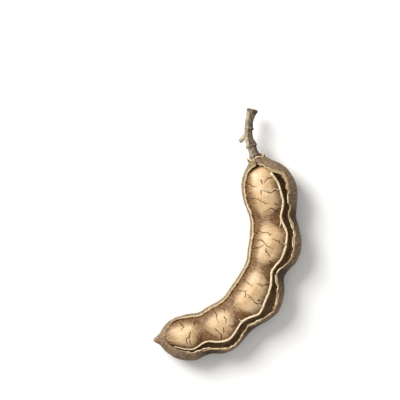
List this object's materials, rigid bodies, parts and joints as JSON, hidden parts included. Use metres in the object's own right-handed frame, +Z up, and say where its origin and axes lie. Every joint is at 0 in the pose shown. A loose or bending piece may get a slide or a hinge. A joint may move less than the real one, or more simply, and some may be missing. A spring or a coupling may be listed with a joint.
{
  "type": "tamarind pod",
  "caption": "Curved tamarind pod with its brittle shell broken open along the top, the lobed pulp and its string showing inside, on a short woody stalk.",
  "frame": {"origin": "centre of the bounding box's bottom face, on the surface that the pod lies on", "axes": "+Y towards the stalk's upper end, +X towards the outer side of the pod's curve, +Z up out of the opened side"},
  "size_m": [0.0739, 0.1263, 0.0211],
  "materials": {
    "husk": "matte",
    "pulp": "satin",
    "fibre": "matte",
    "stalk": "matte"
  },
  "bodies": {
    "root": {"shell": "husk", "pulp": "pulp", "string": "fibre", "stalk": "stalk"}
  },
  "joints": []
}
